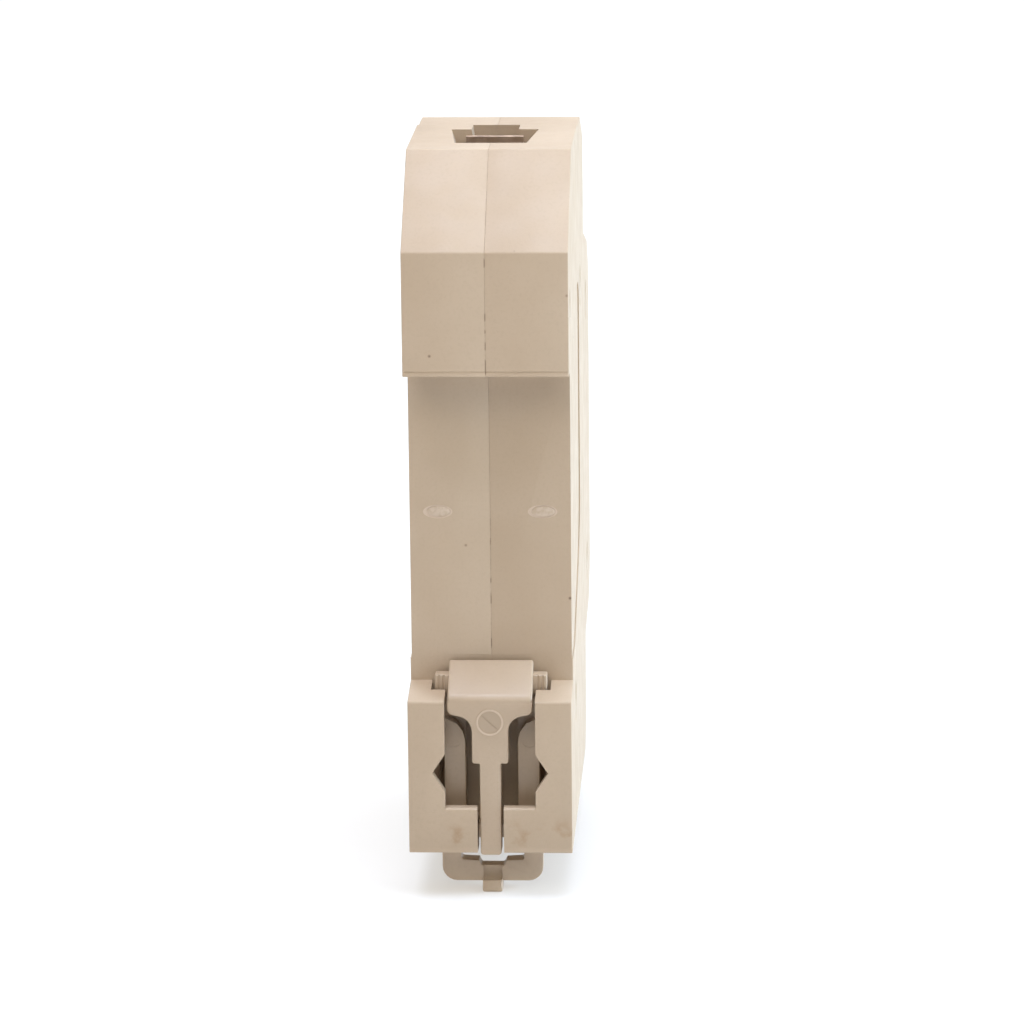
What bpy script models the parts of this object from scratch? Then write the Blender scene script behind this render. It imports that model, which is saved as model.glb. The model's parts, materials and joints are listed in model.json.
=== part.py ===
"""A one-module circuit breaker for 35 mm DIN rail, built from the pieces it comes apart into.

Axes: X across the module, Y from the front of the breaker (-Y) to the rail behind it (+Y), Z up.
The origin is on the rail seat, at the middle of the module and of the rail.
All dimensions below are in millimetres. MM turns them into Blender's metres.
"""
import math

import bmesh
import bpy
from mathutils import Matrix, Vector

MM = 0.001

# Module and outline
HALF_WIDTH = 8.75
PARTING_GAP = 0.05
SIDE_WALL = 1.4
REAR = 5.8
TOP = 39.0
LEDGE_TOP = 38.6
BOTTOM = -35.5
SHOULDER = -38.2
NOSE = -54.2
NOSE_HALF = 22.5
RAIL_HALF = 17.7
LUG_LIP = 16.5
LOWER_LUG_TOP = -17.85
CHANNEL_NARROWING = 0.14
CAVITY_REAR = -1.6
POCKET_DEPTH = -1.8

# Rail clip
CLIP_HEAD_HALF = 4.4
CLIP_EAR_HALF = 6.0
CLIP_HEAD_TOP = -15.5
CLIP_FACE = 5.3
CLIP_BACK = 2.9
NECK_HALF = 2.05
STEM_HALF = 1.13
SLOT_HALF = 1.42
LOOP_HALF = 5.45
LOOP_BOTTOM = -39.7
ARM_INNER = 2.8
ARM_OUTER = 5.15
POCKET_HALF = 4.65
NOTCH_HALF = 6.0
EAR_CHANNEL_HALF = 6.4

# Terminals, given at the top. The bottom terminal is the same one turned over.
SCREW_Z = {"top": 31.3, "bottom": -28.3}
CAGE_HALF_HEIGHT = 4.0
CAGE_HALF_WIDTH = 4.6
CAGE_FRONT = -23.0
CAGE_REAR = -9.0
BAR_FRONT = -19.0
BAR_REAR = -18.0
BAR_HALF = 3.1
BAR_TOP = 38.4
ENTRY_FRONT = -18.5
BAY_FRONT = -21.7
SCREW_RADIUS = 1.75
SCREW_HEAD_RADIUS = 3.1

# Mechanism centres as (Y, Z)
TOGGLE_AXIS = (-46.0, 0.0)
TOGGLE_REST = math.radians(38.0)
TOGGLE_HUB = 6.4
CRANK_RADIUS = 5.0
ARM_AXIS = (-29.5, -10.0)
TRIP_AXIS = (-38.6, 9.0)
COIL_Z = 13.0
LINK_END = (-31.95, -3.5)
LINK_OVERRUN = 2.4

# Arc chute
PLATE_COUNT = 9
PLATE_PITCH = 1.9
PLATE_THICKNESS = 0.6
LOWEST_PLATE = -17.6

RIVET_CENTRES = ((2.2, 23.0), (-27.8, 20.1), (-44.3, 15.4), (-44.3, -15.4), (-7.0, -22.1))
RIVET_RADIUS = 1.1
RIVET_HEAD = 1.9


# ---------------------------------------------------------------- scene helpers

def clear_scene():
    for old in list(bpy.data.objects):
        bpy.data.objects.remove(old, do_unlink=True)


def new_collection(name):
    collection = bpy.data.collections.new(name)
    bpy.context.scene.collection.children.link(collection)
    return collection


def make_material(name, colour, roughness, metallic=0.0):
    material = bpy.data.materials.new(name)
    material.use_nodes = True
    shader = material.node_tree.nodes["Principled BSDF"]
    shader.inputs["Base Color"].default_value = (*colour, 1.0)
    shader.inputs["Roughness"].default_value = roughness
    shader.inputs["Metallic"].default_value = metallic
    return material


def link_mesh(name, mesh):
    piece = bpy.data.objects.new(name, mesh)
    PARTS.objects.link(piece)
    return piece


def finish(piece, material, origin=None):
    """Give a piece its material, and put its origin on its joint's axis."""
    piece.data.materials.clear()
    piece.data.materials.append(material)
    if origin is not None:
        point = Vector(origin) * MM
        piece.data.transform(Matrix.Translation(-point))
        piece.location = point
    return piece


# ---------------------------------------------------------------- shape helpers

def box(name, x, y, z):
    """A block between the low and high values given for each axis."""
    work = bmesh.new()
    bmesh.ops.create_cube(work, size=1.0)
    size = Vector((x[1] - x[0], y[1] - y[0], z[1] - z[0])) * MM
    centre = Vector((x[0] + x[1], y[0] + y[1], z[0] + z[1])) * (MM / 2)
    bmesh.ops.scale(work, vec=size, verts=work.verts)
    bmesh.ops.translate(work, vec=centre, verts=work.verts)
    mesh = bpy.data.meshes.new(name)
    work.to_mesh(mesh)
    work.free()
    return link_mesh(name, mesh)


AXIS_TURN = {
    "X": Matrix(((0, 0, 1), (1, 0, 0), (0, 1, 0))).to_4x4(),
    "Y": Matrix(((1, 0, 0), (0, 0, -1), (0, 1, 0))).to_4x4(),
    "Z": Matrix.Identity(4),
}


def rounded(corners, segments=5):
    """An outline with an arc at each corner. Corners are (a, b, radius)."""
    points = []
    count = len(corners)
    for index, (a, b, radius) in enumerate(corners):
        here = Vector((a, b))
        if radius == 0:
            points.append(here)
            continue
        before = (Vector(corners[index - 1][:2]) - here).normalized()
        after = (Vector(corners[(index + 1) % count][:2]) - here).normalized()
        half_angle = before.angle(after) / 2
        reach = radius / math.tan(half_angle)
        centre = here + (before + after).normalized() * (radius / math.sin(half_angle))
        start = here + before * reach - centre
        sweep = start.angle_signed(here + after * reach - centre)
        for step in range(segments + 1):
            turn = Matrix.Rotation(-sweep * step / segments, 2)
            points.append(centre + turn @ start)
    return points


def plate(name, outline, axis, low, high):
    """A flat outline filled and extruded along an axis.

    The outline holds (Y, Z) for X, (X, Z) for Y and (X, Y) for Z.
    """
    curve = bpy.data.curves.new(name, "CURVE")
    curve.dimensions = "2D"
    curve.fill_mode = "BOTH"
    curve.extrude = (high - low) * MM / 2
    spline = curve.splines.new("POLY")
    spline.points.add(len(outline) - 1)
    for point, place in zip(spline.points, outline):
        point.co = (place[0] * MM, place[1] * MM, 0.0, 1.0)
    spline.use_cyclic_u = True
    middle = (low + high) / 2 * MM
    offset = {"X": (middle, 0, 0), "Y": (0, middle, 0), "Z": (0, 0, middle)}[axis]
    matrix = Matrix.Translation(offset) @ AXIS_TURN[axis]
    return mesh_from_curve(name, curve, matrix)


def mesh_from_curve(name, curve, matrix=Matrix.Identity(4)):
    """A curve's evaluated shape as a closed mesh, with one flat face for each end of an outline."""
    guide = bpy.data.objects.new(name + ".curve", curve)
    bpy.context.scene.collection.objects.link(guide)
    graph = bpy.context.evaluated_depsgraph_get()
    mesh = bpy.data.meshes.new_from_object(guide.evaluated_get(graph))
    bpy.data.objects.remove(guide)
    work = bmesh.new()
    work.from_mesh(mesh)
    bmesh.ops.remove_doubles(work, verts=work.verts, dist=0.000001)
    if curve.dimensions == "2D":
        bmesh.ops.dissolve_limit(work, angle_limit=0.0001, verts=work.verts, edges=work.edges)
    bmesh.ops.transform(work, matrix=matrix, verts=work.verts)
    bmesh.ops.recalc_face_normals(work, faces=work.faces)
    work.to_mesh(mesh)
    work.free()
    mesh.name = name
    return link_mesh(name, mesh)


def turned(name, profile, axis, centre, segments=24):
    """A solid of revolution. The profile holds (radius, place along the axis)."""
    work = bmesh.new()
    rings = [work.verts.new((radius * MM, 0.0, along * MM)) for radius, along in profile]
    edges = [work.edges.new(pair) for pair in zip(rings, rings[1:] + rings[:1])]
    bmesh.ops.spin(work, geom=rings + edges, cent=(0, 0, 0), axis=(0, 0, 1),
                   angle=2 * math.pi, steps=segments, use_merge=True, use_duplicate=False)
    bmesh.ops.remove_doubles(work, verts=work.verts, dist=0.000001)
    bmesh.ops.dissolve_degenerate(work, edges=work.edges, dist=0.000001)
    place = Matrix.Translation(Vector(centre) * MM) @ AXIS_TURN[axis]
    if axis == "Y":
        place = place @ Matrix.Rotation(math.pi, 4, "X")
    bmesh.ops.transform(work, matrix=place, verts=work.verts)
    bmesh.ops.recalc_face_normals(work, faces=work.faces)
    mesh = bpy.data.meshes.new(name)
    work.to_mesh(mesh)
    work.free()
    mesh.shade_smooth()
    mesh.set_sharp_from_angle(angle=math.radians(40))
    return link_mesh(name, mesh)


def rod(name, axis, centre, radius, low, high, segments=24):
    """A round bar along an axis, between two places on that axis."""
    work = bmesh.new()
    bmesh.ops.create_cone(work, cap_ends=True, segments=segments, radius1=radius * MM,
                          radius2=radius * MM, depth=(high - low) * MM)
    middle = (low + high) / 2
    offset = {"X": (middle, 0, 0), "Y": (0, middle, 0), "Z": (0, 0, middle)}[axis]
    place = Matrix.Translation((Vector(centre) + Vector(offset)) * MM) @ AXIS_TURN[axis]
    bmesh.ops.transform(work, matrix=place, verts=work.verts)
    mesh = bpy.data.meshes.new(name)
    work.to_mesh(mesh)
    work.free()
    mesh.shade_smooth()
    mesh.set_sharp_from_angle(angle=math.radians(40))
    return link_mesh(name, mesh)


def wire(name, points, radius, smooth=False):
    """A bent round wire with closed ends."""
    curve = bpy.data.curves.new(name, "CURVE")
    curve.dimensions = "3D"
    curve.bevel_depth = radius * MM
    curve.bevel_resolution = 2
    curve.use_fill_caps = True
    spline = curve.splines.new("POLY")
    spline.points.add(len(points) - 1)
    for point, place in zip(spline.points, points):
        point.co = (*(Vector(place) * MM), 1.0)
    piece = mesh_from_curve(name, curve)
    if smooth:
        piece.data.shade_smooth()
        piece.data.set_sharp_from_angle(angle=math.radians(50))
    return piece


def helix(axis, centre, radius, low, high, turns, steps=14):
    """Points of a coil around an axis through a centre."""
    points = []
    total = int(turns * steps)
    for index in range(total + 1):
        angle = 2 * math.pi * turns * index / total
        along = low + (high - low) * index / total
        a = radius * math.cos(angle)
        b = radius * math.sin(angle)
        local = {"X": (along, a, b), "Y": (a, along, b), "Z": (a, b, along)}[axis]
        points.append(Vector(local) + Vector(centre))
    return points


def use_as_tool(piece, tool, operation):
    """Cut, join or intersect a piece with a tool, which leaves the model."""
    modifier = piece.modifiers.new(operation.lower(), "BOOLEAN")
    modifier.operation = operation
    modifier.solver = "EXACT"
    modifier.object = tool
    PARTS.objects.unlink(tool)
    CUTTERS.objects.link(tool)
    tool.hide_render = True
    tool.display_type = "WIRE"
    return piece


def cut(piece, tool):
    return use_as_tool(piece, tool, "DIFFERENCE")


def join(piece, tool):
    return use_as_tool(piece, tool, "UNION")


# ---------------------------------------------------------------- housing

def housing_outline():
    """The side view of the housing, from the rail channel round the back, top and front."""
    return rounded((
        (0.0, RAIL_HALF, 0), (1.3, RAIL_HALF, 0), (1.3, LUG_LIP, 0), (REAR, LUG_LIP, 0.5),
        (REAR, 29.7, 0.4), (-4.7, TOP, 0.4), (-22.0, TOP, 0), (-22.3, LEDGE_TOP, 0),
        (-30.5, LEDGE_TOP, 1.5), (SHOULDER, 35.2, 1.2), (SHOULDER, 24.3, 1.0),
        (-50.5, 21.2, 2.5), (NOSE, 17.4, 2.5), (NOSE, -17.4, 2.5), (-50.5, -21.2, 2.5),
        (SHOULDER, -NOSE_HALF, 1.0), (SHOULDER, -32.4, 1.2), (-34.9, BOTTOM, 1.2),
        (REAR, BOTTOM, 0.6), (REAR, -18.75, 0.3), (0.0, LOWER_LUG_TOP, 0),
    ), segments=3)


def cavity_outline():
    """The hollow inside, a wall's thickness in from the outline and clear of the clip pocket."""
    return (
        (CAVITY_REAR, -16.2), (CAVITY_REAR, 33.8), (-5.0, 37.0), (-29.5, 37.0), (-36.6, 33.8),
        (-36.6, 23.0), (-49.8, 19.7), (-52.6, 16.6), (-52.6, -16.6), (-49.8, -19.6),
        (-36.6, -20.9), (-36.6, -31.8), (-34.4, -33.9), (-3.6, -33.9), (-3.6, -16.2),
    )


def wire_entry_outline():
    """The wire entry seen from above: a funnel, with a narrower bay for a comb busbar's pin."""
    return (
        (-3.85, -9.2), (-4.75, ENTRY_FRONT), (-2.4, ENTRY_FRONT), (-2.4, BAY_FRONT),
        (2.4, BAY_FRONT), (2.4, ENTRY_FRONT), (4.75, ENTRY_FRONT), (3.85, -9.2),
    )


def pocket_outline():
    """The clip's pocket seen from the rail: diamond notches at its sides, a slot below."""
    half = ((0.0, -15.0), (POCKET_HALF, -15.0), (POCKET_HALF, -24.6), (NOTCH_HALF, -26.65),
            (POCKET_HALF, -28.7), (POCKET_HALF, -30.3), (SLOT_HALF, -30.3), (SLOT_HALF, -37.0),
            (0.0, -37.0))
    mirrored = tuple((-x, z) for x, z in reversed(half[1:-1]))
    return half + mirrored


def cut_openings(half, tag):
    for place, z in SCREW_Z.items():
        cut(half, rod(f"cut.screw_access.{place}.{tag}", "Y", (0, 0, z), 3.4, SHOULDER - 1, -36.0, 24))
    cut(half, plate(f"cut.wire_entry.top.{tag}", wire_entry_outline(), "Z", 36.0, 40.0))
    cut(half, plate(f"cut.wire_entry.bottom.{tag}", wire_entry_outline(), "Z", -36.5, -33.0))
    cut(half, box(f"cut.toggle_slot.{tag}", (-3.2, 3.2), (NOSE - 1, -52.0), (-10.5, 10.5)))
    cut(half, plate(f"cut.clip_pocket.{tag}", pocket_outline(), "Y", 1.0, REAR + 1))
    cut(half, box(f"cut.ear_channel.{tag}", (-EAR_CHANNEL_HALF, EAR_CHANNEL_HALF), (0.0, 2.6), (-23.0, -15.0)))
    cut(half, box(f"cut.clip_arms.{tag}", (-5.7, 5.7), (0.0, 2.6), (-37.0, -16.0)))
    cut(half, box(f"cut.pocket_well.{tag}", (-5.3, 5.3), (POCKET_DEPTH, 1.5), (-34.0, -18.2)))


def cut_side_relief(half, side):
    """A shallow panel sunk in the outer side, open at the rail channel's edge."""
    outline = rounded(((2.0, 21.8, 0), (-23.6, 21.8, 3.0), (-23.6, -6.0, 9.0), (-6.0, -15.4, 5.0),
                       (2.0, -15.4, 0)), segments=6)
    reach = (HALF_WIDTH - CHANNEL_NARROWING, HALF_WIDTH + 1)
    low, high = sorted(side * value for value in reach)
    cut(half, plate(f"cut.side_relief.{side}", outline, "X", low, high))


def add_boss(half, side, centre, radius, depth, hole=None):
    """A round post from the side wall in to a depth, with a blind hole when asked."""
    reach = sorted((side * depth, side * (HALF_WIDTH - SIDE_WALL + 0.3)))
    place = (0, centre[0], centre[1])
    tag = f"{side}.{centre[0]}.{centre[1]}"
    join(half, rod(f"add.boss.{tag}", "X", place, radius, reach[0], reach[1], 20))
    if hole:
        reach = sorted((side * (depth - 1), side * (HALF_WIDTH - SIDE_WALL + 0.1)))
        cut(half, rod(f"cut.boss.{tag}", "X", place, hole, reach[0], reach[1], 20))


def add_inner_walls(half, side):
    """The floor of the top terminal's chamber, the bearing bosses and the rivet posts."""
    reach = sorted((side * PARTING_GAP, side * (HALF_WIDTH - SIDE_WALL + 0.3)))
    join(half, box(f"add.terminal_floor.{side}", reach, (-37.0, -24.6), (23.4, 24.6)))
    for centre in RIVET_CENTRES[1:]:
        add_boss(half, side, centre, 2.0, PARTING_GAP)
    add_boss(half, side, TOGGLE_AXIS, 2.3, 5.2, hole=1.3)
    add_boss(half, side, ARM_AXIS, 2.2, 4.2, hole=1.3)
    add_boss(half, side, TRIP_AXIS, 2.0, 4.2, hole=1.1)


def cut_rivet_holes(half, side):
    for centre in RIVET_CENTRES:
        place = (0, centre[0], centre[1])
        tag = f"{side}.{centre[0]}.{centre[1]}"
        cut(half, rod(f"cut.rivet.{tag}", "X", place, RIVET_RADIUS + 0.2, -9.5, 9.5, 20))
        reach = sorted((side * (HALF_WIDTH - 0.9), side * 9.5))
        cut(half, rod(f"cut.rivet_head.{tag}", "X", place, RIVET_HEAD + 0.3, reach[0], reach[1], 24))


def housing_half(name, side):
    reach = sorted((side * PARTING_GAP, side * HALF_WIDTH))
    half = plate(name, housing_outline(), "X", reach[0], reach[1])
    depth = sorted((side * -1.0, side * (HALF_WIDTH - SIDE_WALL)))
    cut(half, plate(f"cut.cavity.{side}", cavity_outline(), "X", depth[0], depth[1]))
    add_inner_walls(half, side)
    cut_openings(half, str(side))
    cut_side_relief(half, side)
    cut_rivet_holes(half, side)
    return finish(half, HOUSING)


def rivets():
    end = HALF_WIDTH - 0.1
    seat = HALF_WIDTH - 0.6
    for index, centre in enumerate(RIVET_CENTRES, start=1):
        profile = ((0, -end), (RIVET_HEAD - 0.4, -end), (RIVET_HEAD, -end + 0.25), (RIVET_HEAD, -seat),
                   (RIVET_RADIUS, -seat), (RIVET_RADIUS, seat), (RIVET_HEAD, seat),
                   (RIVET_HEAD, end - 0.25), (RIVET_HEAD - 0.4, end), (0, end))
        rivet = turned(f"rivet_{index}", profile, "X", (0, centre[0], centre[1]), 20)
        finish(rivet, STEEL)


# ---------------------------------------------------------------- rail clip

def clip_body_outline():
    """The clip seen from the rail: a wide head with round shoulders, a neck and a thin stem."""
    half = ((CLIP_HEAD_HALF, -19.0, 0), (CLIP_HEAD_HALF, -20.45, 0.7), (NECK_HALF, -20.9, 1.6),
            (NECK_HALF, -25.6, 0.35), (STEM_HALF, -25.75, 0.2), (STEM_HALF, -35.9, 0.3))
    mirrored = tuple((-x, z, radius) for x, z, radius in reversed(half))
    return rounded(half + mirrored, segments=4)


def loop_outline():
    return rounded((
        (ARM_OUTER, -17.0, 0), (ARM_OUTER, -36.2, 0), (LOOP_HALF, -36.6, 0), (LOOP_HALF, LOOP_BOTTOM, 1.6),
        (-LOOP_HALF, LOOP_BOTTOM, 1.6), (-LOOP_HALF, -36.6, 0), (-ARM_OUTER, -36.2, 0),
        (-ARM_OUTER, -17.0, 0), (-ARM_INNER, -17.0, 0), (-ARM_INNER, -35.8, 0), (-3.4, -36.2, 0.3),
        (-3.4, -37.3, 0.3), (-1.5, -37.4, 0), (-1.2, -38.0, 0.2), (1.2, -38.0, 0.2), (1.5, -37.4, 0),
        (3.4, -37.3, 0.3), (3.4, -36.2, 0.3), (ARM_INNER, -35.8, 0), (ARM_INNER, -17.0, 0),
    ), segments=4)


def rail_clip():
    """Head with a ramp for the rail's edge, ears that guide it, a spring tongue and a pull loop."""
    face = CLIP_FACE - 0.05
    ramp = ((0.4, CLIP_HEAD_TOP), (face, -18.55), (face, -20.0), (0.4, -19.6))
    clip = plate("rail_clip", ramp, "X", 0.05 - CLIP_HEAD_HALF, CLIP_HEAD_HALF - 0.05)
    join(clip, plate("add.clip_body", clip_body_outline(), "Y", CLIP_BACK, CLIP_FACE))
    join(clip, box("add.clip_ears", (-CLIP_EAR_HALF, CLIP_EAR_HALF), (0.45, 2.3), (-18.5, -16.45)))
    join(clip, plate("add.clip_loop", loop_outline(), "Y", 0.35, 2.2))
    join(clip, box("add.clip_nub", (-1.1, 1.1), (0.9, 3.4), (-40.7, -39.3)))
    for x in (-5.4, 5.4):
        groove = rod(f"cut.ear_groove.{x}", "Z", (x, 2.3, 0), 0.28, -20.0, -15.0, 10)
        cut(clip, groove)
    ring = ((1.3, CLIP_FACE - 0.2), (1.45, CLIP_FACE - 0.2), (1.45, CLIP_FACE + 0.1), (1.3, CLIP_FACE + 0.1))
    join(clip, turned("add.clip_ring", ring, "Y", (0, 0, -21.15), 24))
    return finish(clip, CLIP_PLASTIC)


# ---------------------------------------------------------------- terminals

def terminal_bars():
    top = ((BAR_FRONT, 36.0), (BAR_FRONT, 25.1), (-8.0, 25.1), (-8.0, 22.0), (-7.0, 22.0),
           (-7.0, 26.1), (BAR_REAR, 26.1), (BAR_REAR, 35.6), (-17.1, 36.5), (-17.1, BAR_TOP),
           (-18.1, BAR_TOP), (-18.1, 36.9))
    bottom = ((BAR_FRONT, -33.6), (BAR_REAR, -33.6), (BAR_REAR, -21.7), (-35.0, -21.7), (-35.0, -16.0),
              (-36.0, -16.0), (-36.0, -22.7), (BAR_FRONT, -22.7))
    finish(plate("top_terminal_bar", top, "X", -BAR_HALF, BAR_HALF), COPPER)
    bar = plate("bottom_terminal_bar", bottom, "X", -BAR_HALF, BAR_HALF)
    cut(bar, rod("cut.calibration_thread", "Y", (0, 0, -18.0), 1.3, -38.0, -34.0, 16))
    finish(bar, COPPER)


def terminal_cage(place):
    z = SCREW_Z[place]
    height = (z - CAGE_HALF_HEIGHT, z + CAGE_HALF_HEIGHT)
    cage = box(f"{place}_terminal_cage", (-CAGE_HALF_WIDTH, CAGE_HALF_WIDTH), (CAGE_FRONT, CAGE_REAR), height)
    cut(cage, box(f"cut.cage.{place}", (-3.4, 3.4), (-21.0, -10.3), (height[0] - 1, height[1] + 1)))
    cut(cage, rod(f"cut.cage_thread.{place}", "Y", (0, 0, z), SCREW_RADIUS + 0.25, -24.0, -20.0, 20))
    finish(cage, ZINC)


def terminal_screw(place):
    z = SCREW_Z[place]
    profile = ((0, -33.6), (SCREW_HEAD_RADIUS - 0.5, -33.6), (SCREW_HEAD_RADIUS, -33.2),
               (SCREW_HEAD_RADIUS, -30.6), (SCREW_RADIUS, -30.6), (SCREW_RADIUS, -20.0), (1.2, -19.4), (0, -19.4))
    screw = turned(f"{place}_terminal_screw", profile, "Y", (0, 0, z), 24)
    cut(screw, box(f"cut.screw_slot.{place}", (-3.5, 3.5), (-34.5, -32.2), (z - 0.5, z + 0.5)))
    cut(screw, box(f"cut.screw_cross.{place}", (-0.45, 0.45), (-34.5, -32.0), (z - 2.2, z + 2.2)))
    finish(screw, ZINC, (0, -30.0, z))


# ---------------------------------------------------------------- solenoid

def solenoid():
    centre = (0, 0, COIL_Z)
    bobbin = turned("coil_bobbin", ((3.2, -15.7), (6.3, -15.7), (6.3, -14.9), (3.9, -14.9), (3.9, -4.2),
                                    (6.3, -4.2), (6.3, -3.4), (3.2, -3.4)), "Y", centre, 32)
    finish(bobbin, DARK_PLASTIC)
    turns = helix("Y", centre, 5.15, -14.0, -5.1, 5.0)
    finish(wire("coil_winding", turns, 0.8, smooth=True), COPPER)
    frame = ((-17.4, 5.6), (-17.4, 20.9), (-1.9, 20.9), (-1.9, 5.6), (-3.0, 5.6), (-3.0, 19.8),
             (-16.2, 19.8), (-16.2, 5.6))
    yoke = plate("solenoid_yoke", frame, "X", -5.2, 5.2)
    cut(yoke, rod("cut.yoke_bore", "Y", centre, 1.2, -18.0, -16.0, 20))
    finish(yoke, STEEL)
    core = turned("fixed_core", ((1.2, -15.9), (2.9, -15.9), (2.9, -11.5), (1.2, -11.5)), "Y", centre, 24)
    finish(core, STEEL)
    plunger = rod("plunger", "Y", centre, 2.8, -8.0, -3.4)
    finish(plunger, STEEL, (0, -8.0, COIL_Z))
    pin = turned("striker_pin", ((0, -18.6), (0.6, -18.6), (0.85, -18.3), (0.85, -8.3), (0, -8.3)), "Y", centre, 16)
    finish(pin, BRASS, (0, -8.3, COIL_Z))
    finish(wire("plunger_spring", helix("Y", centre, 2.2, -10.9, -8.6, 4.0), 0.22, smooth=True), SPRING_STEEL)


# ---------------------------------------------------------------- switching mechanism

def turn_about(piece, centre, angle):
    """Turn a piece about an axis along X through a (Y, Z) centre."""
    point = Vector((0, *centre)) * MM
    there = Matrix.Translation(point)
    piece.data.transform(there @ Matrix.Rotation(angle, 4, "X") @ there.inverted())
    return piece


def toggle_lever():
    """Hub, handle and crank hole, drawn with the handle straight out and then turned to OFF."""
    y, z = TOGGLE_AXIS
    lever = rod("toggle_lever", "X", (0, y, z), TOGGLE_HUB, -2.8, 2.8, 32)
    handle = rounded(((y - 5.0, z - 2.9, 0), (y - 14.5, z - 2.2, 0.5), (y - 17.2, z - 1.6, 1.2),
                      (y - 17.2, z + 1.6, 1.2), (y - 14.5, z + 2.2, 0.5), (y - 5.0, z + 2.9, 0)), segments=4)
    join(lever, plate("add.handle", handle, "X", -2.8, 2.8))
    cut(lever, rod("cut.toggle_bore", "X", (0, y, z), 1.3, -4.0, 4.0, 20))
    cut(lever, rod("cut.crank_hole", "X", (0, y + CRANK_RADIUS, z), 0.8, 0.6, 4.0, 16))
    for tool in [lever] + [modifier.object for modifier in lever.modifiers]:
        turn_about(tool, TOGGLE_AXIS, TOGGLE_REST)
    finish(lever, TOGGLE_PLASTIC, (0, y, z))


def crank_point():
    y = TOGGLE_AXIS[0] + CRANK_RADIUS * math.cos(TOGGLE_REST)
    z = TOGGLE_AXIS[1] + CRANK_RADIUS * math.sin(TOGGLE_REST)
    return y, z


def toggle_link():
    """A bent wire from the toggle's crank hole to the contact arm's slot."""
    y0, z0 = crank_point()
    y1, z1 = LINK_END
    points = ((1.1, y0, z0), (3.1, y0, z0), (3.5, y0 + 0.35, z0 - 0.2),
              (3.5, y1 - 0.35, z1 + 0.2), (3.1, y1, z1), (-1.8, y1, z1))
    link = wire("toggle_link", points, 0.45, smooth=True)
    finish(link, SPRING_STEEL, (0, y0, z0))


def contact_arm():
    y, z = ARM_AXIS
    outline = rounded(((y - 2.2, z - 3.8, 0.6), (y + 2.2, z - 2.2, 1.2), (y + 2.2, z + 2.4, 1.0),
                       (y + 0.9, z + 5.0, 0.6), (y + 0.9, z + 24.0, 0.4), (y - 1.1, z + 24.0, 0.4),
                       (y - 1.1, z + 8.9, 0.6), (y - 4.1, z + 8.6, 0.9), (y - 4.1, z + 4.6, 0.9),
                       (y - 2.2, z + 3.0, 0.6)), segments=3)
    arm = plate("contact_arm", outline, "X", -1.0, 1.0)
    cut(arm, rod("cut.arm_bore", "X", (0, y, z), 1.25, -2.0, 2.0, 20))
    slot = rounded(((LINK_END[0] - 0.8, LINK_END[1] - 0.8, 0.75), (LINK_END[0] + LINK_OVERRUN, LINK_END[1] - 0.8, 0.75),
                    (LINK_END[0] + LINK_OVERRUN, LINK_END[1] + 0.8, 0.75), (LINK_END[0] - 0.8, LINK_END[1] + 0.8, 0.75)),
                   segments=4)
    cut(arm, plate("cut.arm_slot", slot, "X", -2.0, 2.0))
    finish(arm, COPPER, (0, y, z))
    tip = box("moving_contact_tip", (-1.5, 1.5), (-28.3, -27.2), (4.0, 7.5))
    finish(tip, SILVER, (0, y, z))


def trip_lever():
    y, z = TRIP_AXIS
    outline = rounded(((y - 1.9, z - 1.6, 1.2), (y + 1.4, z - 5.0, 1.0), (y + 1.4, z - 17.5, 0.4),
                       (y + 3.0, z - 17.5, 0.4), (y + 3.0, z - 3.4, 1.5), (y + 6.4, z + 2.6, 0.6),
                       (y + 6.0, z + 4.4, 0.6), (y - 1.9, z + 1.9, 1.5)), segments=3)
    lever = plate("trip_lever", outline, "X", -1.5, 1.5)
    cut(lever, rod("cut.trip_bore", "X", (0, y, z), 1.05, -3.0, 3.0, 16))
    finish(lever, TRIP_PLASTIC, (0, y, z))


def pivots():
    for name, (y, z), radius in (("toggle_pin", TOGGLE_AXIS, 1.0), ("contact_arm_pin", ARM_AXIS, 0.95),
                                 ("trip_lever_pin", TRIP_AXIS, 0.8)):
        profile = ((0, -6.9), (radius - 0.2, -6.9), (radius, -6.7), (radius, 6.7), (radius - 0.2, 6.9), (0, 6.9))
        finish(turned(name, profile, "X", (0, y, z), 20), STEEL)


def mechanism_springs():
    toggle = helix("X", (0, *TOGGLE_AXIS), 1.9, 3.35, 4.85, 3.5)
    finish(wire("toggle_spring", toggle, 0.2, smooth=True), SPRING_STEEL)
    trip = helix("X", (0, *TRIP_AXIS), 1.5, 2.0, 3.8, 4.0)
    finish(wire("trip_lever_spring", trip, 0.18, smooth=True), SPRING_STEEL)
    contact = helix("Z", (0, -31.2, 0), 1.2, -20.6, -14.6, 7.0)
    finish(wire("contact_spring", contact, 0.2, smooth=True), SPRING_STEEL)


# ---------------------------------------------------------------- contacts, arc chute, bimetal

def fixed_contact():
    finish(box("fixed_contact_plate", (-3.0, 3.0), (-20.6, -19.6), (-0.6, 9.5)), COPPER)
    finish(box("fixed_contact_tip", (-1.8, 1.8), (-21.9, -20.9), (4.0, 7.8)), SILVER)


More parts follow.
